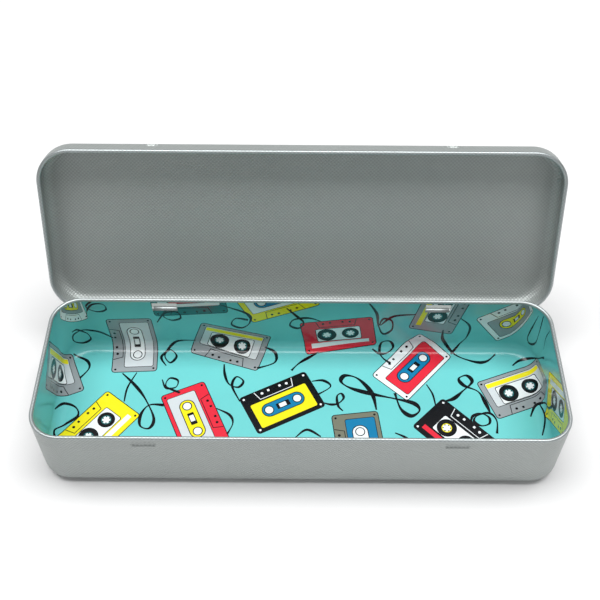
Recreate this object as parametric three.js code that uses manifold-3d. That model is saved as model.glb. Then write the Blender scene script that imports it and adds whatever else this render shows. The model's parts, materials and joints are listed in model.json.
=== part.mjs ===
// A hinged tinplate pencil case, standing open.
//
// It is two pressed sheets of tinplate: a deep tray and a shallow lid. Every edge is rolled inward into a rim.
// The lid's rim is also the hinge pin: two hooks, bent out of windows in the tray's rear wall, reach through
// slots in the lid's rear skirt and wrap it. When the lid leans back, the upper edge of each slot comes to rest
// on its hook. In front, two dimples in the lid's skirt sit in two dents of the tray when the lid is shut.
//
// Millimetres. +X runs along the case, +Y points to the hinge and +Z is up.
// The origin is the centre of the tray's underside.
import * as THREE from 'three';
import { mergeVertices } from 'three/addons/utils/BufferGeometryUtils.js';
import Module from 'manifold-3d';

const wasm = await Module();
wasm.setup();

// ---- driving dimensions ----
const SHEET = 0.3;
const RIM_DIAMETER = 1.6;
const RIM_TURN = 285;
const OPEN_ANGLE = 112.8;

const TRAY = { length: 200, width: 65.5, height: 33, corner: 12, edge: 5 };

const SIDE_GAP = 0.3;
const FRONT_GAP = 0.45;
const LID_REST_GAP = 0.4;
const LID_EDGE = 4;
const AXIS_DROP = 8.8;

const HINGE_X = 55.8;
const HOOK_WIDTH = 9.6;
const HOOK_GAP = 0.08;
const HOOK_SLACK = 0.6;
const HOOK_END_TURN = 200;
const WINDOW = { width: 10.2, topDrop: 3.4, aboveAxis: 0.6 };
const SLOT = { width: 10.4, low: 0.2, high: 1.45 };

const DENT = { x: 57.3, width: 9.6, topDrop: 2, bottomDrop: 5.4, depth: 0.5 };
const DIMPLE = { width: 7, height: 2.4, drop: 3.7, depth: 1.2 };

// ---- how round things are cut into flats ----
const CORNER_STEPS = 7;
const EDGE_STEPS = 4;
const RIM_STEPS = 8;
const HOOK_STEPS = 12;

// ---- sizes that follow ----
const RIM_RADIUS = RIM_DIAMETER / 2;
const RIM_BORE = RIM_RADIUS - SHEET;
const AXIS_Y = TRAY.width / 2 + SIDE_GAP + RIM_RADIUS;
const AXIS_Z = TRAY.height - AXIS_DROP;
const LID = {
  length: TRAY.length + 2 * (RIM_DIAMETER + SIDE_GAP),
  width: TRAY.width + 2 * RIM_DIAMETER + SIDE_GAP + FRONT_GAP,
  height: RIM_RADIUS + AXIS_DROP + LID_REST_GAP + SHEET,
  corner: TRAY.corner + RIM_DIAMETER + SIDE_GAP,
  edge: LID_EDGE,
};
const LID_REAR_Y = RIM_RADIUS;
const LID_FRONT_Y = LID_REAR_Y - LID.width;

const radians = THREE.MathUtils.degToRad;

// ---- solids ----

// A closed BufferGeometry as a manifold solid.
function solid(geometry) {
  const bare = new THREE.BufferGeometry();
  bare.setAttribute('position', geometry.getAttribute('position').clone());
  if (geometry.index) {
    bare.setIndex(geometry.index.clone());
  }
  const merged = mergeVertices(bare, 1e-5);
  const vertProperties = Float32Array.from(merged.getAttribute('position').array);
  const triVerts = Uint32Array.from(merged.index.array);
  return new wasm.Manifold(new wasm.Mesh({ numProp: 3, vertProperties, triVerts }));
}

// A manifold solid as a mesh with its own material.
function namedMesh(name, body, look) {
  const result = body.getMesh();
  const geometry = new THREE.BufferGeometry();
  geometry.setAttribute('position', new THREE.BufferAttribute(result.vertProperties, 3));
  geometry.setIndex(new THREE.BufferAttribute(result.triVerts, 1));
  geometry.computeVertexNormals();
  const mesh = new THREE.Mesh(geometry, new THREE.MeshStandardMaterial(look));
  mesh.name = name;
  return mesh;
}

function block(x, y, z) {
  const geometry = new THREE.BoxGeometry(x[1] - x[0], y[1] - y[0], z[1] - z[0]);
  geometry.translate((x[0] + x[1]) / 2, (y[0] + y[1]) / 2, (z[0] + z[1]) / 2);
  return solid(geometry);
}

// A flat outline in Y and Z, drawn out along X.
function barAlongX(outline, x) {
  const shape = new THREE.Shape(outline.map(([y, z]) => new THREE.Vector2(y, z)));
  const geometry = new THREE.ExtrudeGeometry(shape, { depth: x[1] - x[0], bevelEnabled: false });
  const turn = new THREE.Matrix4().makeBasis(
    new THREE.Vector3(0, 1, 0), new THREE.Vector3(0, 0, 1), new THREE.Vector3(1, 0, 0),
  );
  geometry.applyMatrix4(turn);
  geometry.translate(x[0], 0, 0);
  return solid(geometry);
}

// Points on an arc. The angle is in degrees and `at` turns it into a point.
function arc(from, to, steps, at) {
  const points = [];
  for (let i = 0; i <= steps; i += 1) {
    points.push(at(radians(from + ((to - from) * i) / steps)));
  }
  return points;
}

// ---- the pressed shell that tray and lid share ----

// The sheet's section from the middle of the floor to the rolled rim and back, as [inset, height] pairs.
// Inset is measured inward from the outside of the wall.
function shellSection({ height, edge }) {
  const rimZ = height - RIM_RADIUS;
  const floorArc = (radius) => (a) => [edge - radius * Math.sin(a), edge - radius * Math.cos(a)];
  const rimArc = (radius) => (a) => [RIM_RADIUS - radius * Math.cos(a), rimZ + radius * Math.sin(a)];
  return [
    ...arc(0, 90, EDGE_STEPS, floorArc(edge)),
    ...arc(0, RIM_TURN, RIM_STEPS, rimArc(RIM_RADIUS)),
    ...arc(RIM_TURN, 0, RIM_STEPS, rimArc(RIM_BORE)),
    ...arc(90, 0, EDGE_STEPS, floorArc(edge - SHEET)),
  ];
}

// One level line round the shell: a rectangle with round corners, anticlockwise from above.
function levelLine({ length, width, corner }, inset, z) {
  const x = length / 2 - corner;
  const y = width / 2 - corner;
  const radius = corner - inset;
  const centres = [[x, y], [-x, y], [-x, -y], [x, -y]];
  return centres.flatMap(([cx, cy], quarter) => arc(90 * quarter, 90 * quarter + 90, CORNER_STEPS,
    (a) => new THREE.Vector3(cx + radius * Math.cos(a), cy + radius * Math.sin(a), z)));
}

function fan(index, start, count, up) {
  for (let i = 1; i < count - 1; i += 1) {
    const [b, c] = up ? [start + i, start + i + 1] : [start + i + 1, start + i];
    index.push(start, b, c);
  }
}

function shell(size) {
  const lines = shellSection(size).map(([inset, z]) => levelLine(size, inset, z));
  const around = lines[0].length;
  const index = [];
  for (let row = 0; row < lines.length - 1; row += 1) {
    for (let i = 0; i < around; i += 1) {
      const a = row * around + i;
      const b = row * around + ((i + 1) % around);
      index.push(a, b, a + around, b, b + around, a + around);
    }
  }
  fan(index, 0, around, false);
  fan(index, (lines.length - 1) * around, around, true);
  const geometry = new THREE.BufferGeometry();
  geometry.setFromPoints(lines.flat());
  geometry.setIndex(index);
  return geometry;
}

// ---- the tray ----

function hook(x) {
  const inner = RIM_RADIUS + HOOK_GAP;
  const outer = inner + SHEET;
  const over = (radius) => (a) => [AXIS_Y + radius * Math.sin(a), AXIS_Z + radius * Math.cos(a)];
  const under = (radius) => (a) => [
    AXIS_Y + radius * Math.sin(a), AXIS_Z - HOOK_SLACK + radius * Math.cos(a),
  ];
  const outline = [
    ...arc(-90, 90, HOOK_STEPS, over(outer)),
    ...arc(90, HOOK_END_TURN, HOOK_STEPS, under(outer)),
    ...arc(HOOK_END_TURN, 90, HOOK_STEPS, under(inner)),
    ...arc(90, -90, HOOK_STEPS, over(inner)),
  ];
  return barAlongX(outline.reverse(), [x - HOOK_WIDTH / 2, x + HOOK_WIDTH / 2]);
}

function wallWindow(x) {
  const rear = TRAY.width / 2;
  return block(
    [x - WINDOW.width / 2, x + WINDOW.width / 2],
    [rear - 2 * SHEET, rear + SHEET],
    [AXIS_Z + WINDOW.aboveAxis, TRAY.height - WINDOW.topDrop],
  );
}

// A dent pressed inward through the front wall: [the metal it adds inside, the hollow it leaves outside].
function dent(x) {
  const front = -TRAY.width / 2;
  const half = DENT.width / 2;
  const low = TRAY.height - DENT.bottomDrop;
  const high = TRAY.height - DENT.topDrop;
  const metal = block(
    [x - half - SHEET, x + half + SHEET],
    [front + SHEET / 2, front + DENT.depth + SHEET],
    [low - SHEET, high + SHEET],
  );
  const hollow = block([x - half, x + half], [front - SHEET, front + DENT.depth], [low, high]);
  return [metal, hollow];
}

function tray() {
  let body = solid(shell(TRAY));
  for (const side of [-1, 1]) {
    const [metal, hollow] = dent(side * DENT.x);
    body = body.add(metal).subtract(hollow);
    body = body.subtract(wallWindow(side * HINGE_X)).add(hook(side * HINGE_X));
  }
  return body;
}

// ---- the lid, drawn shut, with the hinge axis at its origin ----

function skirtSlot(x) {
  return block(
    [x - SLOT.width / 2, x + SLOT.width / 2],
    [LID_REAR_Y - 1.5 * SHEET, LID_REAR_Y + SHEET],
    [SLOT.low, SLOT.high],
  );
}

// A dimple pressed inward through the front skirt, as a stubby wedge in section.
function dimple(x) {
  const z = AXIS_DROP - DIMPLE.drop;
  const face = (depth, grow, y) => [
    [y, z - DIMPLE.height / 2 - grow],
    [LID_FRONT_Y + depth, z - DIMPLE.height / 4 - grow / 2],
    [LID_FRONT_Y + depth, z + DIMPLE.height / 4 + grow / 2],
    [y, z + DIMPLE.height / 2 + grow],
  ];
  const half = DIMPLE.width / 2;
  const metal = barAlongX(
    face(DIMPLE.depth + SHEET, SHEET, LID_FRONT_Y + SHEET / 2).reverse(), [x - half - SHEET, x + half + SHEET],
  );
  const hollow = barAlongX(face(DIMPLE.depth, 0, LID_FRONT_Y - SHEET).reverse(), [x - half, x + half]);
  return [metal, hollow];
}

function lid() {
  const upright = shell(LID);
  upright.rotateX(Math.PI);
  upright.translate(0, LID_REAR_Y - LID.width / 2, LID.height - RIM_RADIUS);
  let body = solid(upright);
  for (const side of [-1, 1]) {
    const [metal, hollow] = dimple(side * DENT.x);
    body = body.add(metal).subtract(hollow).subtract(skirtSlot(side * HINGE_X));
  }
  return body;
}

// ---- assembly ----

const greyTin = { color: '#8f9797', roughness: 0.42, metalness: 0.75 };
const pencilCase = new THREE.Group();
pencilCase.add(namedMesh('base_tray', tray(), greyTin));

const hinge = new THREE.Group();
hinge.position.set(0, AXIS_Y, AXIS_Z);
hinge.rotation.x = -radians(OPEN_ANGLE);
hinge.add(namedMesh('lid_shell', lid(), greyTin));
pencilCase.add(hinge);

export default pencilCase;
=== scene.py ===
"""A hinged tinplate pencil case, standing open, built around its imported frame.

The tray and the lid are fine versions of the two CAD shells: a sheet's section swept round a rectangle
with round corners. The tray's lining is a printed pattern. It is drawn on the flat sheet, cut into faces
there, and then folded up into the tray as the press would fold it. Lengths are in metres, and the pattern is
drawn in millimetres.
"""
import json
import math

import bmesh
import bpy
from mathutils import Matrix, Vector
from mathutils.geometry import convex_hull_2d, delaunay_2d_cdt


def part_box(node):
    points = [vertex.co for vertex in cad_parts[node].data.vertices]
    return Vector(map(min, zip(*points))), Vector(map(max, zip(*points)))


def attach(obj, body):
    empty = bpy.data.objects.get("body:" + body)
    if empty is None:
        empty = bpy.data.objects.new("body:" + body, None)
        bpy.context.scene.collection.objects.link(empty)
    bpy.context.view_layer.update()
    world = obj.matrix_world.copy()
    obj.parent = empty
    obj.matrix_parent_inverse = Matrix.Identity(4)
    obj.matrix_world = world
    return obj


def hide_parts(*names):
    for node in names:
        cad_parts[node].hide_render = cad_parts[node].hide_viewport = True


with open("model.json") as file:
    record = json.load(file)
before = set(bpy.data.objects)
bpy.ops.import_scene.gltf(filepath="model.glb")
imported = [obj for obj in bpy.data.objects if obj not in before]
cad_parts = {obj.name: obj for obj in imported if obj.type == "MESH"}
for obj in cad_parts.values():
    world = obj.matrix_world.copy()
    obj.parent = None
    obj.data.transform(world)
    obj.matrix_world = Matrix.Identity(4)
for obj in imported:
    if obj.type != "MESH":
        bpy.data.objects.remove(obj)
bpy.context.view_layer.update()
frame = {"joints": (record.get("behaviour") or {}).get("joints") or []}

MM = 0.001

# ---- sizes read from the frame ----
TRAY_LOW, TRAY_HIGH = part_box("base_tray")
LENGTH = TRAY_HIGH.x - TRAY_LOW.x
WIDTH = -2 * TRAY_LOW.y
HEIGHT = TRAY_HIGH.z
HINGE = next(j for j in frame["joints"] if j["name"] == "lid_hinge")
AXIS = Vector(HINGE["pos_m"])
OPEN_ANGLE = math.radians(HINGE["range_deg"][1])
LID_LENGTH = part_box("lid_shell")[1].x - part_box("lid_shell")[0].x

# ---- the sheet and its features, as in the CAD source ----
# RIM is the outer radius of the rolled bead, CORNER is seen from above, and EDGE is between floor and wall.
SHEET = 0.3 * MM
RIM = 0.8 * MM
RIM_TURN = math.radians(285)
CORNER = 12 * MM
EDGE = 5 * MM
LID_EDGE = 4 * MM
SIDE_GAP = 0.3 * MM
FRONT_GAP = 0.45 * MM
LID_REST_GAP = 0.4 * MM
AXIS_DROP = HEIGHT - AXIS.z

HINGE_X = 55.8 * MM
WINDOW_WIDTH = 10.2 * MM
WINDOW_LOW = AXIS.z + 0.6 * MM
WINDOW_HIGH = HEIGHT - 3.4 * MM
HOOK_WIDTH = 9.6 * MM
HOOK_GAP = 0.08 * MM
HOOK_SLACK = 0.6 * MM
HOOK_START = math.radians(-42)
HOOK_END = math.radians(200)
HOOK_EASE = 0.08 * MM
HOOK_OVER_STEPS = 18
HOOK_UNDER_STEPS = 16
SLOT_WIDTH = 10.4 * MM
SLOT_LOW = 0.2 * MM
SLOT_HIGH = 1.45 * MM
CATCH_X = 57.3 * MM
DENT_WIDTH = 9.6 * MM
DENT_LOW = HEIGHT - 5.4 * MM
DENT_HIGH = HEIGHT - 1.9 * MM
DENT_DEPTH = 0.5 * MM
DENT_SIDE_RAMP = 0.9 * MM
DENT_LOW_RAMP = 0.45 * MM
DENT_HIGH_RAMP = 1.4 * MM
DIMPLE_WIDTH = 7 * MM
DIMPLE_HEIGHT = 2.6 * MM
DIMPLE_DROP = 3.7 * MM
DIMPLE_DEPTH = 1.2 * MM
DIMPLE_FLAT = 0.3

TRAY = {"length": LENGTH, "width": WIDTH, "height": HEIGHT, "corner": CORNER, "edge": EDGE}
LID = {
    "length": LID_LENGTH,
    "width": WIDTH + 4 * RIM + SIDE_GAP + FRONT_GAP,
    "height": RIM + AXIS_DROP + LID_REST_GAP + SHEET,
    "corner": CORNER + 2 * RIM + SIDE_GAP,
    "edge": LID_EDGE,
}


# ---- small helpers ----

TINY = 1e-6


def srgb(red, green, blue):
    """A colour given as 0 to 255 on screen, as the linear value that a shader takes."""
    def linear(c):
        c /= 255
        return c / 12.92 if c <= 0.04045 else ((c + 0.055) / 1.055) ** 2.4
    return (linear(red), linear(green), linear(blue), 1)


def smooth_step(x, low, high):
    t = min(max((x - low) / (high - low), 0), 1)
    return t * t * (3 - 2 * t)


def plateau(x, low, high, ramp_low, ramp_high):
    """1 between low and high, falling to 0 over the two ramps just inside them."""
    return smooth_step(x, low, low + ramp_low) * (1 - smooth_step(x, high - ramp_high, high))


def spread(low, high, count):
    """Even steps from low to high, with both ends in it."""
    return [low + (high - low) * i / count for i in range(count + 1)]


def link(name, data):
    piece = bpy.data.objects.new(name, data)
    bpy.context.scene.collection.objects.link(piece)
    return piece


# ---- the pressed shell that tray and lid share ----

FLOOR_INSETS = [9.5 * MM, 7.5 * MM, 5.8 * MM]
EDGE_STEPS = 12
RIM_STEPS = 20
CORNER_STEPS = 26
ALONG_STEPS = 24
ACROSS_STEPS = 8
MARK_STEP = 0.4 * MM
SHELL_SHARP = math.radians(40)


def section(size, levels):
    """The sheet's section as two runs of (inset, height). The outer face runs from the floor to the end of
    the rolled rim, and the inner face runs from there back to the floor."""
    edge, rim_z = size["edge"], size["height"] - RIM

    def floor_arc(radius):
        return [(edge - radius * math.sin(a), edge - radius * math.cos(a))
                for a in spread(0, math.pi / 2, EDGE_STEPS)]

    def rim_arc(radius):
        return [(RIM - radius * math.cos(a), rim_z + radius * math.sin(a))
                for a in spread(0, RIM_TURN, RIM_STEPS)]

    outer = [(i, 0) for i in FLOOR_INSETS] + floor_arc(edge) + [(0, z) for z in levels] + rim_arc(RIM)
    inner = [(i, SHEET) for i in FLOOR_INSETS] + floor_arc(edge - SHEET) + [(SHEET, z) for z in levels]
    return outer, (inner + rim_arc(RIM - SHEET))[::-1]


def unfolded(run, corner):
    """How far each point of a run, which starts at the floor, lies from the core once the sheet is flat."""
    far = [corner - run[0][0]]
    for here, there in zip(run, run[1:]):
        far.append(far[-1] + math.dist(here, there))
    return far


def stations(size, marks):
    """Places round the shell, anticlockwise, as (share of the core in X, share in Y, outward angle). The
    core is the rectangle between the corners' centres. Marks are X places that need a line of their own."""
    core = size["length"] / 2 - size["corner"]
    along = sorted({m / core for m in marks} | set(spread(-1, 1, ALONG_STEPS)))[1:-1]
    across = spread(-1, 1, ACROSS_STEPS)[1:-1]
    quarter = spread(0, math.pi / 2, CORNER_STEPS)
    return (
        [(1, 1, a) for a in quarter] + [(x, 1, math.pi / 2) for x in along[::-1]]
        + [(-1, 1, a + math.pi / 2) for a in quarter] + [(-1, y, math.pi) for y in across[::-1]]
        + [(-1, -1, a + math.pi) for a in quarter] + [(x, -1, 1.5 * math.pi) for x in along]
        + [(1, -1, a + 1.5 * math.pi) for a in quarter] + [(1, y, 0) for y in across]
    )


def fine_marks(middle, count):
    """Close lines at both ends of the shell, so many steps to each side of a feature's middle."""
    return [side * (middle + i * MARK_STEP) for side in (-1, 1) for i in range(-count, count + 1)]


def shell_rows(bm, size, levels, places, press):
    """One row of vertices round the shell for each point of its section, outer face first, and where each
    vertex lies on the flat sheet in millimetres."""
    outer, inner = section(size, levels)
    far = unfolded(outer, size["corner"]) + unfolded(inner[::-1], size["corner"])[::-1]
    core_x, core_y = size["length"] / 2 - size["corner"], size["width"] / 2 - size["corner"]
    flat, rows = {}, []
    for (inset, z), away in zip(outer + inner, far):
        row = []
        for share_x, share_y, angle in places:
            out = Vector((math.cos(angle), math.sin(angle), 0))
            base = Vector((share_x * core_x, share_y * core_y, 0))
            side = 0 if abs(out.x) > TINY else round(out.y)
            spot = base + out * (size["corner"] - inset) + Vector((0, 0, z))
            spot -= out * press(spot.x, side, z)
            vertex = bm.verts.new(spot)
            flat[vertex] = (base + out * away).xy / MM
            row.append(vertex)
        rows.append(row)
    return rows, flat


def in_hole(corners, holes, wall_y):
    """Whether a face of the wall lies in one of the holes. Its middle has to be beyond wall_y."""
    middle = sum((v.co for v in corners), Vector()) / 4
    return any(x0 < middle.x < x1 and z0 < middle.z < z1 and middle.y * side > wall_y
               for x0, x1, side, z0, z1 in holes)


def skin(bm, rows, holes, wall_y):
    """Faces between the rows, with material 1 on the rolled rim, and the floor's inside and underside."""
    turn = len(rows) // 2
    rolled = range(turn - RIM_STEPS - 1, turn + RIM_STEPS + 1)
    for n, (lower, upper) in enumerate(zip(rows, rows[1:])):
        for i in range(len(lower)):
            j = (i + 1) % len(lower)
            corners = (lower[i], lower[j], upper[j], upper[i])
            if not in_hole(corners, holes, wall_y):
                bm.faces.new(corners).material_index = int(n in rolled)
    bm.faces.new(rows[0][::-1])
    bm.faces.new(rows[-1])


def close_holes(bm, holes):
    """The cut edges of the sheet, from the outer face to the inner one."""
    for x0, x1, side, _, _ in holes:
        ring = [e for e in bm.edges if e.is_boundary
                and all(x0 - TINY < v.co.x < x1 + TINY and v.co.y * side > 0 for v in e.verts)]
        bmesh.ops.bridge_loops(bm, edges=ring)


def smooth_mesh(bm, name, sharp):
    """The finished mesh, with edges past the sharp angle left hard."""
    bmesh.ops.recalc_face_normals(bm, faces=bm.faces)
    for face in bm.faces:
        face.smooth = True
    mesh = bpy.data.meshes.new(name)
    bm.to_mesh(mesh)
    bm.free()
    mesh.set_sharp_from_angle(angle=sharp)
    return mesh


def shell_mesh(name, size, levels, marks, press, holes):
    """press(x, side, z) is how far the wall is pushed inward, where side is -1 in front, 1 behind and 0
    elsewhere. holes are (low x, high x, side, low z, high z) through the wall, on lines that levels and
    marks give. The UV map "sheet" holds the flat sheet's millimetres."""
    bm = bmesh.new()
    sheet_uv = bm.loops.layers.uv.new("sheet")
    rows, flat = shell_rows(bm, size, levels, stations(size, marks), press)
    skin(bm, rows, holes, size["width"] / 2 - 3 * SHEET)
    close_holes(bm, holes)
    for face in bm.faces:
        for loop in face.loops:
            loop[sheet_uv].uv = flat[loop.vert]
    return smooth_mesh(bm, name, SHELL_SHARP)


# ---- tray ----

DENT_MARKS = 15
TRAY_LEVELS = spread(7 * MM, 24 * MM, 5)
DENT_LEVELS = spread(DENT_LOW - 0.3 * MM, HEIGHT - RIM - 0.2 * MM, 22)


def tray_press(x, side, z):
    """The two catch dents in the front wall."""
    if side != -1:
        return 0
    away = abs(abs(x) - CATCH_X)
    across = plateau(away, -DENT_WIDTH / 2, DENT_WIDTH / 2, DENT_SIDE_RAMP, DENT_SIDE_RAMP)
    return DENT_DEPTH * across * plateau(z, DENT_LOW, DENT_HIGH, DENT_LOW_RAMP, DENT_HIGH_RAMP)


def make_tray():
    half = WINDOW_WIDTH / 2
    levels = sorted(TRAY_LEVELS + [WINDOW_LOW, WINDOW_HIGH] + DENT_LEVELS)
    marks = [side * (HINGE_X + s * half) for side in (-1, 1) for s in (-1, 1)]
    marks += fine_marks(CATCH_X, DENT_MARKS)
    holes = [(side * HINGE_X - half, side * HINGE_X + half, 1, WINDOW_LOW, WINDOW_HIGH) for side in (-1, 1)]
    tray = link("tray", shell_mesh("tray", TRAY, levels, marks, tray_press, holes))
    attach(tray, "tray")
    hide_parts("base_tray")
    return tray


# ---- hinge hooks ----

HOOK_SHARP = math.radians(50)


def hook_path():
    """The middle of the hook's sheet, out of the window's lower edge, over the lid's rim and under it."""
    reach = RIM + HOOK_GAP + SHEET / 2
    wall_y = WIDTH / 2 - SHEET / 2
    path = [
        (wall_y, WINDOW_LOW - 0.5 * MM),
        (wall_y, WINDOW_LOW - 0.1 * MM),
        (wall_y + 0.1 * MM, WINDOW_LOW + 0.12 * MM),
    ]
    path += [(AXIS.y + reach * math.sin(a), AXIS.z + reach * math.cos(a))
             for a in spread(HOOK_START, math.pi / 2, HOOK_OVER_STEPS)]
    path += [(AXIS.y + reach * math.sin(a), AXIS.z - HOOK_SLACK + reach * math.cos(a))
             for a in spread(math.pi / 2, HOOK_END, HOOK_UNDER_STEPS)]
    return path


def hook_outline():
    """The strip's section, a thin box with its four corners eased."""
    half, thick = HOOK_WIDTH / 2, SHEET / 2
    return [
        (-half, -thick + HOOK_EASE),
        (-half + HOOK_EASE, -thick),
        (half - HOOK_EASE, -thick),
        (half, -thick + HOOK_EASE),
        (half, thick - HOOK_EASE),
        (half - HOOK_EASE, thick),
        (-half + HOOK_EASE, thick),
        (-half, thick - HOOK_EASE),
    ]


def make_hook(name, x):
    """A strip of the sheet swept along the hook's path."""
    bm = bmesh.new()
    path = hook_path()
    outline = hook_outline()
    rings = []
    for i, (y, z) in enumerate(path):
        before, after = path[max(i - 1, 0)], path[min(i + 1, len(path) - 1)]
        way = Vector((after[0] - before[0], after[1] - before[1])).normalized()
        ring = [bm.verts.new((x + across, y - way.y * out, z + way.x * out)) for across, out in outline]
        rings.append(ring)
    for lower, upper in zip(rings, rings[1:]):
        for i in range(len(outline)):
            j = (i + 1) % len(outline)
            bm.faces.new((lower[i], lower[j], upper[j], upper[i]))
    bm.faces.new(rings[0][::-1])
    bm.faces.new(rings[-1])
    hook = link(name, smooth_mesh(bm, name, HOOK_SHARP))
    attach(hook, "tray")
    return hook


# ---- lid ----

DIMPLE_MARKS = 10
LID_RIM_Z = LID["height"] - RIM
DIMPLE_Z = LID_RIM_Z - (AXIS_DROP - DIMPLE_DROP)
SLOT_HEIGHTS = (LID_RIM_Z - SLOT_HIGH, LID_RIM_Z - SLOT_LOW)


def lid_press(x, side, z):
    """The two catch dimples. The lid is made with its opening up, so its front skirt is behind here."""
    if side != 1:
        return 0
    across = (abs(x) - CATCH_X) / (DIMPLE_WIDTH / 2)
    up = (z - DIMPLE_Z) / (DIMPLE_HEIGHT / 2)
    return DIMPLE_DEPTH * (1 - smooth_step(math.hypot(across, up), DIMPLE_FLAT, 1))


def make_lid():
    half = SLOT_WIDTH / 2
    dimple_levels = spread(DIMPLE_Z - 0.1 * MM, SLOT_HEIGHTS[0] - 0.2 * MM, 8)
    levels = [z for z in sorted(set(dimple_levels) | set(SLOT_HEIGHTS)) if z > LID_EDGE]
    marks = [side * (HINGE_X + s * half) for side in (-1, 1) for s in (-1, 1)]
    marks += fine_marks(CATCH_X, DIMPLE_MARKS)
    holes = [(side * HINGE_X - half, side * HINGE_X + half, -1, *SLOT_HEIGHTS) for side in (-1, 1)]
    mesh = shell_mesh("lid", LID, levels, marks, lid_press, holes)
    over = Matrix.Rotation(math.pi, 4, "X")
    mesh.transform(Matrix.Translation((0, RIM - LID["width"] / 2, LID_RIM_Z)) @ over)
    lid = link("lid", mesh)
    lid.matrix_world = Matrix.Translation(AXIS) @ Matrix.Rotation(-OPEN_ANGLE, 4, "X")
    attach(lid, "lid")
    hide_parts("lid_shell")
    return lid


# ---- materials ----

class Nodes:
    """A short way to write a material's node graph."""

    def __init__(self, name):
        self.material = bpy.data.materials.new(name)
        self.material.use_nodes = True
        self.tree = self.material.node_tree
        self.shader = self.tree.nodes["Principled BSDF"]

    def add(self, kind, inputs, **settings):
        """A new node's first output, with its inputs given as values or as other nodes' outputs."""
        node = self.tree.nodes.new(kind)
        for key, value in settings.items():
            setattr(node, key, value)
        for key, value in inputs.items():
            self.put(node.inputs[key], value)
        return node.outputs[0]

    def put(self, socket, value):
        """Links another node's output to the socket, or sets the socket's own value."""
        if isinstance(value, bpy.types.NodeSocket):
            self.tree.links.new(value, socket)
        else:
            socket.default_value = value

    def math(self, operation, *values):
        return self.add("ShaderNodeMath", dict(enumerate(values)), operation=operation)

    def noise(self, scale, detail):
        """Noise in the object's own metres."""
        where = self.tree.nodes.new("ShaderNodeTexCoord").outputs["Object"]
        return self.add("ShaderNodeTexNoise", {"Vector": where, "Scale": scale, "Detail": detail})

    def between(self, factor, low, high):
        return self.add("ShaderNodeMapRange", {"Value": factor, "To Min": low, "To Max": high})

    def mix(self, factor, dark, light):
        node = self.tree.nodes.new("ShaderNodeMix")
        node.data_type = "RGBA"
        for key, value in (("Factor", factor), ("A", dark), ("B", light)):
            self.put(next(s for s in node.inputs if s.name == key and s.enabled), value)
        return next(s for s in node.outputs if s.enabled)

    def bump(self, height, strength, distance, under=None):
        inputs = {"Height": height, "Strength": strength, "Distance": distance}
        if under is not None:
            inputs["Normal"] = under
        return self.add("ShaderNodeBump", inputs)


LATTICE_PITCH = 1.05
LATTICE_HOLLOW = -1.2
LATTICE_TOP = 1.6


def lattice(nodes):
    """Round dots on a diagonal lattice in the flat sheet's millimetres, 0 between them and 1 on top."""
    where = nodes.add("ShaderNodeUVMap", {}, uv_map="sheet")
    split = nodes.tree.nodes.new("ShaderNodeSeparateXYZ")
    nodes.put(split.inputs[0], where)
    wave = math.pi * math.sqrt(2) / LATTICE_PITCH
    total = nodes.math("MULTIPLY", nodes.math("ADD", split.outputs[0], split.outputs[1]), wave)
    apart = nodes.math("MULTIPLY", nodes.math("SUBTRACT", split.outputs[0], split.outputs[1]), wave)
    both = nodes.math("ADD", nodes.math("COSINE", total), nodes.math("COSINE", apart))
    ends = {"From Min": LATTICE_HOLLOW, "From Max": LATTICE_TOP}
    return nodes.add("ShaderNodeMapRange", {"Value": both, **ends})


def tin(name, dark, light, metallic, roughness, emboss):
    """Satin grey lacquer over tinplate. Emboss is how strongly the lattice of dots stands out in the bump.
    The dots also lighten the colour on their tops and darken it between them, a painted highlight and
    painted shade.
    """
    nodes = Nodes(name)
    sockets = nodes.shader.inputs
    cloud = nodes.noise(14, 4)
    dots = lattice(nodes)
    # The cloud is a tone that varies at random. The dots' share lightens the dot tops and darkens the
    # hollows between them, which is painted highlight and painted shade of the emboss.
    tone_and_dot_shading = nodes.math("ADD", nodes.math("MULTIPLY", cloud, 0.4), nodes.math("MULTIPLY", dots, 0.5))
    nodes.put(sockets["Base Color"], nodes.mix(tone_and_dot_shading, dark, light))
    nodes.put(sockets["Roughness"], nodes.between(nodes.noise(60, 5), *roughness))
    nodes.put(sockets["Metallic"], metallic)
    grain = nodes.bump(nodes.noise(2200, 2), 0.06, 0.02 * MM)
    nodes.put(sockets["Normal"], nodes.bump(dots, emboss, 0.15 * MM, grain))
    return nodes.material


def ink(name, colour):
    """Gloss printing ink: nearly flat colour, with the faint unevenness of a lacquered print."""
    nodes = Nodes(name)
    sockets = nodes.shader.inputs
    shade = tuple(c * 0.93 for c in colour[:3]) + (1,)
    nodes.put(sockets["Base Color"], nodes.mix(nodes.noise(45, 4), shade, colour))
    nodes.put(sockets["Roughness"], nodes.between(nodes.noise(120, 3), 0.17, 0.29))
    nodes.put(sockets["Specular IOR Level"], 0.3)
    nodes.put(sockets["Coat Weight"], 0.25)
    nodes.put(sockets["Coat Roughness"], 0.1)
    nodes.put(sockets["Normal"], nodes.bump(nodes.noise(260, 2), 0.05, 0.05 * MM))
    return nodes.material


# ---- the printed lining ----
# The pattern is drawn in millimetres on the flat sheet, with the tray's middle at the origin.

CORE_X, CORE_Y = (LENGTH / 2 - CORNER) / MM, (WIDTH / 2 - CORNER) / MM
FLAT_RADIUS = (CORNER - EDGE) / MM
BEND_RADIUS = (EDGE - SHEET) / MM
BEND_END = FLAT_RADIUS + BEND_RADIUS * math.pi / 2
PRINT_DROP = 1.0
PRINT_RADIUS = BEND_END + (HEIGHT / MM - PRINT_DROP) - EDGE / MM
INK_LIFT = 0.03


def core_point(u, v):
    """The point of the core rectangle nearest to a flat point."""
    return min(max(u, -CORE_X), CORE_X), min(max(v, -CORE_Y), CORE_Y)


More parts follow.
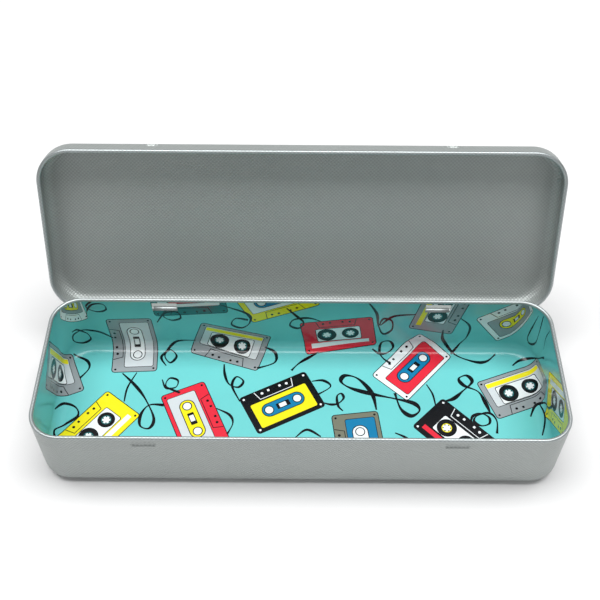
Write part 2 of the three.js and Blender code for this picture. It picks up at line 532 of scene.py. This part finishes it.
def fold(u, v):
    """A point of the flat pattern in the tray, as (position in metres, the way that the surface faces)."""
    base = Vector((*core_point(u, v), 0))
    away = Vector((u, v, 0)) - base
    distance = away.length
    out = away.normalized() if distance > TINY else Vector((0, 1, 0))
    turn = min(max((distance - FLAT_RADIUS) / BEND_RADIUS, 0), math.pi / 2)
    rise = max(distance - BEND_END, 0)
    reach = min(distance, FLAT_RADIUS) + BEND_RADIUS * math.sin(turn)
    height = SHEET / MM + BEND_RADIUS * (1 - math.cos(turn)) + rise
    facing = Vector((0, 0, math.cos(turn))) - out * math.sin(turn)
    spot = base + out * reach + Vector((0, 0, height))
    side = round(out.y) if abs(out.x) < TINY and distance > TINY else 0
    pressed = tray_press(spot.x * MM, side, height * MM)
    return spot * MM - out * pressed, facing


# The corners anticlockwise, as (side in X, side in Y, the angle in degrees where the quarter circle starts).
QUARTERS = ((1, 1, 0), (-1, 1, 90), (-1, -1, 180), (1, -1, 270))
RING_STEPS = 28


def round_corners(cx, cy, half_x, half_y, radius, steps):
    """Quarter circles about the four corners of a rectangle, anticlockwise."""
    points = []
    for sx, sy, start in QUARTERS:
        x, y = cx + sx * half_x, cy + sy * half_y
        for a in spread(math.radians(start), math.radians(start + 90), steps):
            points.append((x + radius * math.cos(a), y + radius * math.sin(a)))
    return points


def round_box(cx, cy, width, height, radius, steps):
    """A rectangle's outline with round corners."""
    return round_corners(cx, cy, width / 2 - radius, height / 2 - radius, radius, steps)


def ring_at(radius):
    """The line at one distance from the core rectangle, which folds to one height."""
    return round_corners(0, 0, CORE_X, CORE_Y, radius, RING_STEPS)


def disc(cx, cy, radius, steps):
    turns = spread(0, 2 * math.pi, steps)[:-1]
    return [(cx + radius * math.cos(a), cy + radius * math.sin(a)) for a in turns]


def box(x0, y0, x1, y1):
    return [(x0, y0), (x1, y0), (x1, y1), (x0, y1)]


INK_COLOURS = {
    "teal": srgb(112, 203, 203),
    "deep": srgb(28, 110, 112),
    "black": srgb(4, 6, 12),
    "white": srgb(236, 240, 242),
    "pale": srgb(206, 212, 216),
    "grey": srgb(150, 156, 160),
    "olive": srgb(118, 120, 104),
    "red": srgb(226, 42, 62),
    "yellow": srgb(244, 228, 26),
    "blue": srgb(10, 122, 168),
}


class Pattern:
    """Flat coloured shapes, kept in the order that they are printed in."""

    def __init__(self):
        self.shapes = []

    def add(self, colour, points):
        """Adds a shape, turned round if need be so that its points run anticlockwise."""
        area = sum(a[0] * b[1] - b[0] * a[1] for a, b in zip(points, points[1:] + points[:1]))
        self.shapes.append((colour, points if area > 0 else points[::-1]))

    def place(self, colour, points, at, turn):
        c, s = math.cos(turn), math.sin(turn)
        self.add(colour, [(at[0] + x * c - y * s, at[1] + x * s + y * c) for x, y in points])


# A cassette's drawing, about its middle, with the tape door along its lower side. Each box is
# (middle y, width, height, corner radius, steps in a corner), as a dark line's outline and what it holds.
BODY = ((0, 30.7, 19.3, 1.5, 4), (0, 30, 18.6, 1.2, 4))
LABEL = ((1.7, 25.6, 12.4, 0.9, 4), (1.7, 25.1, 11.9, 0.7, 4))
PILL = ((1, 18.9, 6.6, 3.2, 8), (1, 18.2, 5.9, 2.9, 8))
VIEW = ((0.2, 19, 8.8, 0.9, 3), (0.2, 18.4, 8.2, 0.7, 3))
DOOR = [(-8.7, -9.2), (8.7, -9.2), (7.5, -5.1), (-7.5, -5.1)]
DOOR_INSIDE = [(-8.35, -9.2), (8.35, -9.2), (7.25, -5.4), (-7.25, -5.4)]
ROUND_HOLE = (5.6, -7.6, 0.6)
SQUARE_HOLE = (2.6, -7.9, 1)
SCREW = (13.7, 8, 0.5)
HUB = (6.4, 1, 2.05, 1.65)
SMALL_WINDOW = (0, 1, 5.8, 2.7, 0.2, 2)
SMALL_WINDOW_LIGHT = (-1.7, 0.05, 1.3, 1.95)
STRIPE = (-12.3, 5.1, 12.3, 7.2)
REELS = ((-5, 4.1), (5, 3.6))
REEL_Y = 0.2
REEL_RING = 2.1
REEL_HOLE = 1.7
TEETH = 6
TOOTH_REACH = 1.5
TOOTH_RADIUS = 0.3
TOOTH_START = 20


def framed(put, line, fill, outline, inside):
    for colour, (middle, width, height, radius, steps) in ((line, outline), (fill, inside)):
        put(colour, round_box(0, middle, width, height, radius, steps))


def draw_body(put, shell, line):
    framed(put, "black", shell, *BODY)
    put(line, DOOR)
    put(shell, DOOR_INSIDE)
    x, y, radius = ROUND_HOLE
    for side in (-1, 1):
        put(line, disc(side * x, y, radius, 12))
    x, y, width = SQUARE_HOLE
    for side in (-1, 1):
        put(line, round_box(side * x, y, width, width, 0.15, 1))
    x, y, radius = SCREW
    for side in (-1, 1):
        for end in (-1, 1):
            put(line, disc(side * x, end * y, radius, 10))


def draw_pill(put, accent):
    """Two hubs and a small window between them, in a pill-shaped field of the accent colour."""
    framed(put, "black", accent, *PILL)
    x, y, radius, hole = HUB
    for side in (-1, 1):
        put("black", disc(side * x, y, radius, 20))
        put("white", disc(side * x, y, hole, 16))
    put("black", round_box(*SMALL_WINDOW))
    put("white", box(*SMALL_WINDOW_LIGHT))


def draw_reels(put, accent, ring):
    """Two reels of tape in a large window, under a stripe of the accent colour."""
    put(accent, box(*STRIPE))
    framed(put, "black", "white", *VIEW)
    for x, radius in REELS:
        put("black", disc(x, REEL_Y, radius, 28))
        put(ring, disc(x, REEL_Y, REEL_RING, 18))
        put("white", disc(x, REEL_Y, REEL_HOLE, 18))
        for i in range(TEETH):
            a = math.radians(360 / TEETH * i + TOOTH_START)
            tooth_x, tooth_y = x + TOOTH_REACH * math.cos(a), REEL_Y + TOOTH_REACH * math.sin(a)
            put("black", disc(tooth_x, tooth_y, TOOTH_RADIUS, 8))


def cassette(pattern, at, degrees, shell, label, accent, ring=None, mirrored=False):
    """A music cassette of a plain, general kind. With a ring colour, its reels show in a large window."""
    turn = math.radians(degrees)
    flip = -1 if mirrored else 1

    def put(colour, points):
        pattern.place(colour, [(x, y * flip) for x, y in points], at, turn)

    draw_body(put, shell, "white" if shell == "black" else "black")
    if label:
        framed(put, "black", label, *LABEL)
    if ring:
        draw_reels(put, accent, ring)
    else:
        draw_pill(put, accent)


# Each cassette is (middle, degrees, body, label, accent, ring of the reels, mirrored).
CASSETTES = [
    ((-71, 34), 93, "grey", "pale", "white", None, True),
    ((-107.5, 12), 24, "grey", "pale", "yellow", "deep"),
    ((-82, -8.6), 52, "yellow", None, "white", "deep", True),
    ((-43, -3.5), -66, "red", "pale", "yellow", None, True),
    ((-30, 33.3), -18, "grey", "pale", "yellow", "deep"),
    ((-7.6, 4.2), 27, "black", "yellow", "blue", None, True),
    ((15.8, 40), 9, "red", None, "white", "deep", True),
    ((-10, 62), 24, "yellow", "white", "blue"),
    ((-106, 54), 18, "white", "grey", "yellow"),
    ((-46, 62), 5, "deep", "white", "red"),
    ((57.5, 57), 77, "grey", None, "yellow", "deep"),
    ((90, 52), 36, "white", "grey", "yellow", None, True),
    ((47, 22.8), 48, "white", "red", "blue", None, True),
    ((91, 11), 21, "grey", "pale", "yellow", "deep"),
    ((62.7, -10.9), -45, "black", None, "red", "yellow", True),
    ((23.8, -16), -83, "olive", "blue", "white"),
    ((116, -8), -50, "yellow", None, "white", "deep"),
    ((4, -42), 14, "grey", "white", "yellow"),
    ((-63, -37), -20, "white", "red", "blue"),
    ((-108, -36), 40, "black", "yellow", "blue"),
    ((62, -46), 12, "red", None, "white", "deep"),
    ((101, -44), -30, "grey", "pale", "yellow"),
    ((-30, -50), 60, "yellow", None, "white", "deep"),
]

# Loose tape: the points that each strand passes through, with its least and its greatest width.
STRANDS = [
    ([(-103, 38), (-99, 40.6), (-92, 39), (-90, 35), (-94, 32.6), (-100, 33.6), (-101, 37), (-95, 41),
      (-86, 40.5), (-80, 36)], 0.5, 1.0),
    ([(-97, 27), (-91, 24.5), (-89.4, 20.5), (-92.5, 15.5)], 0.5, 1.1),
    ([(-57, 22), (-59.5, 26.5), (-56, 30), (-53, 27), (-55.5, 23.6), (-58, 28), (-53, 34),
      (-45, 34.6)], 0.4, 1.0),
    ([(-60, 47), (-56, 53.5), (-51, 54), (-50, 50), (-54, 48.6), (-57, 52), (-53, 58)], 0.4, 1.0),
    ([(-90, 50), (-86, 58), (-81, 59), (-80, 55.4), (-84, 54), (-88, 57), (-85, 61)], 0.4, 0.9),
    ([(-33, 59), (-22, 53), (-21.5, 47), (-25, 43.6), (-29, 46), (-27, 50), (-22, 49)], 0.4, 1.1),
    ([(-15.5, 31.5), (-11, 29), (-11.2, 24), (-18.5, 21)], 0.5, 1.2),
    ([(-32.5, 23), (-32, 18), (-30, 13), (-26, 11.4), (-24, 14.4), (-27, 16.6), (-28.6, 12),
      (-25, 4.4)], 0.5, 1.0),
    ([(7.5, 29.5), (3, 26.5), (-1, 23.5), (-4, 20)], 0.5, 1.2),
    ([(-58, 15), (-56, 10.8), (-52, 11.2), (-51.4, 14.6), (-55, 15.6), (-56, 11.5),
      (-50, 8.5)], 0.4, 0.9),
    ([(-75, 18), (-69, 12), (-64, 5.3), (-59.6, -3.9), (-61, -8.6), (-64.8, -7.4), (-65, -2),
      (-62, 2.4), (-56, 2.4)], 0.5, 1.2),
    ([(-69, 18.4), (-72, 11), (-72.6, 4)], 0.4, 0.7),
    ([(-34.5, 1), (-29, -2), (-27.4, -6), (-29.4, -11)], 0.4, 1.0),
    ([(-101, -2), (-97, 2.6), (-92, 1), (-90.6, -3), (-95, -7), (-99, -11), (-96, -15.5),
      (-90, -15)], 0.5, 1.1),
    ([(-6, 57), (-2, 52), (1, 47.5), (-1, 43.6), (-4.6, 45.4), (-3, 49.4), (3, 50.6),
      (8, 48.5)], 0.5, 1.1),
    ([(27, 61.5), (31, 54), (32.2, 46), (34.6, 40), (38, 43), (37.6, 49), (34, 50.4), (33, 46),
      (38, 52), (47, 53.4)], 0.5, 1.1),
    ([(30.5, 31), (33.5, 29), (37, 29.4), (39.4, 32), (37.6, 35), (34.4, 34), (33.6, 30), (35, 26.6),
      (38, 24)], 0.5, 1.0),
    ([(31, 0.8), (29.4, 9), (24, 16), (18.6, 17.6), (16.8, 14.6), (20.6, 11.4), (29, 8.6), (39, 6.2),
      (46.6, 4), (48.6, 0.6), (45, -2), (41, 1.4), (39, 9)], 0.6, 1.7),
    ([(4.6, 14.6), (9.4, 15), (12.4, 12), (7, 8)], 0.4, 1.1),
    ([(9.5, 4), (12.5, 3.2), (15.5, 3.8), (17.7, 6.4), (16.8, 8.6), (15, 7.2), (15.4, 2.6),
      (17.3, 0.2)], 0.5, 1.0),
    ([(52.4, 13.4), (54.6, 8.6), (55.4, 3)], 0.4, 0.7),
    ([(58.6, 5), (63, 6.4), (67, 10), (71.6, 14.8), (69.6, 18), (66.2, 16.4), (68, 13), (73.6, 10),
      (76, 4.6), (77.4, -0.4)], 0.5, 1.5),
    ([(69, -5.4), (70, -2), (73.4, -0.6), (76.6, -2.4), (76.4, -5.4), (73, -6.4), (70.4, -4.2),
      (72, -1.6), (77, -0.4), (79.6, -4), (79, -10)], 0.5, 1.0),
    ([(59.6, 43), (60.4, 36), (66, 28.6), (74, 25), (79, 25.4), (83, 29)], 0.5, 1.3),
    ([(66, 51), (70.4, 45.6), (70, 38), (67, 32.6), (64, 29)], 0.4, 0.9),
    ([(113.6, 47), (106, 42.4), (100.6, 37.6), (100.4, 33.4), (105.6, 32.2), (112, 36),
      (119.6, 42.6)], 0.5, 1.2),
    ([(89.6, 23.2), (94, 26.2), (101, 25), (110.6, 18.2)], 0.5, 1.1),
    ([(93.6, -2), (96.6, 3.4), (101, 2.6), (104, -1.8), (110, -4.4)], 0.5, 1.1),
    ([(98, 3.8), (99.6, -3), (97, -11)], 0.4, 0.8),
    ([(-2, -12.4), (2.6, -8.8), (8.2, -12)], 0.4, 1.0),
    ([(-90, -24), (-84, -29), (-83, -34), (-87, -35), (-88, -30), (-82, -27), (-78, -31)], 0.5, 1.1),
    ([(-45, -24), (-44, -31), (-48, -34), (-50, -30), (-45, -28), (-40, -33), (-38, -40)], 0.5, 1.2),
    ([(-18, -24), (-14, -31), (-10, -34), (-8, -30), (-12, -28), (-17, -33)], 0.5, 1.0),
    ([(31, -33), (36, -35), (40, -31), (37.6, -28), (34.6, -31), (38, -37), (37, -44)], 0.5, 1.2),
    ([(76, -25), (81, -28), (83, -33), (79.6, -35.6), (77.6, -31.6), (82, -29.6), (88, -31)], 0.5, 1.1),
    ([(38, -10), (43, -13), (44, -19), (48.6, -22), (50, -26.6)], 0.5, 1.1),
    ([(112, 22), (118, 26), (124, 24)], 0.5, 1.0),
    ([(96, -22), (103, -21.4), (108, -24), (113, -22)], 0.5, 1.0),
]

TAPE_WEIGHT = 0.6
CURVE_STEPS = 7
SWELL_LINKS = 16


def between_points(a, b, c, d, t):
    """One coordinate of a Catmull-Rom spline, at the share t of the way from b to c."""
    cubic = (3 * b - a - 3 * c + d) * t ** 3
    return 0.5 * (2 * b + (c - a) * t + (2 * a - 5 * b + 4 * c - d) * t ** 2 + cubic)


def flowing(points):
    """A smooth curve through the points."""
    ends = [points[0]] + points + [points[-1]]
    curve = []
    for four in zip(ends, ends[1:], ends[2:], ends[3:]):
        for i in range(CURVE_STEPS):
            curve.append(tuple(between_points(*values, i / CURVE_STEPS) for values in zip(*four)))
    return curve + [points[-1]]


def tape(pattern, points, thin, wide):
    """A strand of tape as short flat links. It turns as it goes, so its width swells and narrows."""
    curve = flowing(points)
    sides = []
    for i, (x, y) in enumerate(curve):
        (ax, ay), (bx, by) = curve[max(i - 1, 0)], curve[min(i + 1, len(curve) - 1)]
        length = math.hypot(bx - ax, by - ay) or 1
        swell = 0.5 - 0.5 * math.cos(2 * math.pi * i / SWELL_LINKS)
        half = TAPE_WEIGHT * (thin + (wide - thin) * swell)
        nx, ny = -(by - ay) / length * half, (bx - ax) / length * half
        sides.append(((x + nx, y + ny), (x - nx, y - ny)))
    for (a, b), (c, d) in zip(sides, sides[1:]):
        ends = [a, b, d, c]
        pattern.add("black", [ends[i] for i in convex_hull_2d(ends)])


# Lines that the pattern is cut along as well, so that it folds smoothly.
BEND_STEPS = 12
WALL_RINGS = (18, 24, 30, 36)
CORNER_LINES = 14
WINDOW_CLEAR = 0.05
DENT_LINE_HALF = 5.2
DENT_LEVEL_STEP = 0.32
DENT_LEVEL_COUNT = 12
DENT_MARK_REACH = 3.6
DENT_MARK_HALF = 5
DENT_MARK_STEP = 0.5
DENT_MARK_COUNT = 21
MERGE_WITHIN = 1e-4


def window_gaps():
    """The hinge windows on the flat sheet, a little larger than in the shell."""
    half = WINDOW_WIDTH / 2 / MM + WINDOW_CLEAR
    low, high = (z / MM - EDGE / MM + BEND_END + CORE_Y for z in (WINDOW_LOW, WINDOW_HIGH))
    gaps = []
    for side in (-1, 1):
        middle = side * HINGE_X / MM
        gaps.append(box(middle - half, low - WINDOW_CLEAR, middle + half, high + WINDOW_CLEAR))
    return gaps


def corner_lines():
    """Straight lines up the round corners of the wall."""
    lines = []
    for sx, sy, start in QUARTERS:
        for a in spread(math.radians(start), math.radians(start + 90), CORNER_LINES):
            lines.append([(sx * CORE_X + r * math.cos(a), sy * CORE_Y + r * math.sin(a))
                          for r in (FLAT_RADIUS, PRINT_RADIUS)])
    return lines


def dent_lines():
    """A fine grid over each catch dent in the front wall."""
    low = -(CORE_Y + BEND_END + DENT_LOW / MM - EDGE / MM)
    lines = []
    for side in (-1, 1):
        middle = side * CATCH_X / MM
        for i in range(DENT_LEVEL_COUNT):
            level = low - DENT_LEVEL_STEP * i
            lines.append([(middle - DENT_LINE_HALF, level), (middle + DENT_LINE_HALF, level)])
        for i in range(DENT_MARK_COUNT):
            x = middle - DENT_MARK_HALF + DENT_MARK_STEP * i
            lines.append([(x, low), (x, low - DENT_MARK_REACH)])
    return lines


def draw_pattern():
    pattern = Pattern()
    pattern.add("teal", ring_at(PRINT_RADIUS))
    for entry in CASSETTES:
        cassette(pattern, *entry)
    for points, thin, wide in STRANDS:
        tape(pattern, points, thin, wide)
    for gap in window_gaps():
        pattern.add("hole", gap)
    return pattern


def in_print(u, v):
    """Whether a flat point is short of the print's upper edge."""
    return math.dist((u, v), core_point(u, v)) < PRINT_RADIUS


def cut(pattern):
    """The pattern as faces that don't overlap: (the points, each colour's faces). Where shapes overlap, the
    one that was printed last gives the colour."""
    verts, faces, edges = [], [], []
    for _, points in pattern.shapes:
        faces.append(list(range(len(verts), len(verts) + len(points))))
        verts += [Vector(p) for p in points]
    for radius in (*spread(FLAT_RADIUS, BEND_END, BEND_STEPS), *WALL_RINGS):
        start = len(verts)
        verts += [Vector(p) for p in ring_at(radius)]
        edges += [(i, i + 1) for i in range(start, len(verts) - 1)]
        edges.append((len(verts) - 1, start))
    for ends in corner_lines() + dent_lines():
        edges.append((len(verts), len(verts) + 1))
        verts += [Vector(p) for p in ends]

    points, _, cut_faces, _, _, sources = delaunay_2d_cdt(verts, edges, faces, 1, MERGE_WITHIN)
    by_colour = {}
    for face, shapes in zip(cut_faces, sources):
        if not shapes:
            continue
        colour = pattern.shapes[max(shapes)][0]
        middle = sum((points[i] for i in face), Vector((0, 0))) / len(face)
        if colour != "hole" and in_print(*middle):
            by_colour.setdefault(colour, []).append(face)
    return points, by_colour


def make_print():
    """The printed face of the tray, just above its sheet, with a material for each ink."""
    points, by_colour = cut(draw_pattern())
    palette = sorted(by_colour)
    used = sorted({i for faces in by_colour.values() for face in faces for i in face})
    index = {old: new for new, old in enumerate(used)}
    folded = [fold(*points[i]) for i in used]
    spots = [spot + facing * INK_LIFT * MM for spot, facing in folded]
    faces = [[index[i] for i in face] for colour in palette for face in by_colour[colour]]
    slots = [n for n, colour in enumerate(palette) for _ in by_colour[colour]]
    mesh = bpy.data.meshes.new("lining_print")
    mesh.from_pydata(spots, [], faces)
    for polygon, slot in zip(mesh.polygons, slots):
        polygon.material_index = slot
        polygon.use_smooth = True
    for colour in palette:
        mesh.materials.append(ink("ink_" + colour, INK_COLOURS[colour]))
    mesh.normals_split_custom_set_from_vertices([facing for _, facing in folded])
    lining = link("lining_print", mesh)
    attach(lining, "tray")
    return lining


# ---- studio ----

CAMERA_PLACE = Vector((-0.137, -205.312, 328.49)) * MM
CAMERA_PITCH = math.radians(51.242)
CAMERA_YAW = math.radians(-0.098)
CAMERA_ROLL = math.radians(0.297)
CAMERA_LENS = 56.47


FLOOR_HALF = 12
FLOOR_DROP = 0.05 * MM
FLOOR_COLOUR = (0.8, 0.8, 0.8, 1)
WORLD_COLOUR = (0.97, 0.98, 1, 1)
WORLD_STRENGTH = 0.24

# Each light is (name, place, target, size, watts).
LIGHTS = (
    ("ceiling", (0, 0.12, 1.3), (0, 0.1, 0), (1.7, 0.7), 25),
    ("front_strip", (0, -0.9, 0.72), (0, 0, 0.02), (1.3, 0.06), 1.0),
)


def make_camera():
    camera = link("camera", bpy.data.cameras.new("camera"))
    camera.data.lens = CAMERA_LENS
    camera.data.clip_start = 0.01
    level = math.cos(CAMERA_PITCH)
    ahead = Vector((math.sin(CAMERA_YAW) * level, math.cos(CAMERA_YAW) * level, -math.sin(CAMERA_PITCH)))
    right = Vector((math.cos(CAMERA_YAW), -math.sin(CAMERA_YAW), 0))
    up = right.cross(ahead)
    c, s = math.cos(CAMERA_ROLL), math.sin(CAMERA_ROLL)
    turn = Matrix((right * c + up * s, up * c - right * s, -ahead)).transposed()
    camera.matrix_world = Matrix.Translation(CAMERA_PLACE) @ turn.to_4x4()
    bpy.context.scene.camera = camera


def make_light(name, place, target, size, watts):
    light = link(name, bpy.data.lights.new(name, "AREA"))
    light.data.shape = "RECTANGLE"
    light.data.size, light.data.size_y = size
    light.data.energy = watts
    way = Vector(target) - Vector(place)
    light.matrix_world = Matrix.Translation(place) @ way.to_track_quat("-Z", "Y").to_matrix().to_4x4()


def make_floor():
    bm = bmesh.new()
    bmesh.ops.create_grid(bm, x_segments=2, y_segments=2, size=FLOOR_HALF)
    mesh = bpy.data.meshes.new("floor")
    bm.to_mesh(mesh)
    bm.free()
    floor = link("floor", mesh)
    floor.location.z = -FLOOR_DROP
    paper = Nodes("floor_paper")
    paper.shader.inputs["Base Color"].default_value = FLOOR_COLOUR
    paper.shader.inputs["Roughness"].default_value = 0.9
    mesh.materials.append(paper.material)


def make_studio():
    make_floor()
    world = bpy.data.worlds.new("studio")
    world.use_nodes = True
    backdrop = world.node_tree.nodes["Background"].inputs
    backdrop["Color"].default_value = WORLD_COLOUR
    backdrop["Strength"].default_value = WORLD_STRENGTH
    bpy.context.scene.world = world
    bpy.context.scene.view_settings.view_transform = "Standard"
    for light in LIGHTS:
        make_light(*light)


def main():
    make_camera()
    make_studio()
    embossed = tin("embossed_tin", srgb(150, 156, 154), srgb(186, 191, 189), 0.45, (0.4, 0.5), 0.7)
    # The bead's tin is a touch lighter than the wall's, a painted highlight on the rolled rim; its higher
    # metallic and lower roughness belong to the material itself.
    bead = tin("bead_tin", srgb(150, 157, 157), srgb(188, 194, 194), 0.65, (0.32, 0.42), 0.08)
    plain = tin("hook_tin", srgb(130, 138, 138), srgb(168, 174, 174), 0.85, (0.3, 0.4), 0)
    for shell in (make_tray(), make_lid()):
        shell.data.materials.append(embossed)
        shell.data.materials.append(bead)
    for name, side in (("hinge_hook_left", -1), ("hinge_hook_right", 1)):
        make_hook(name, side * HINGE_X).data.materials.append(plain)
    make_print()


main()
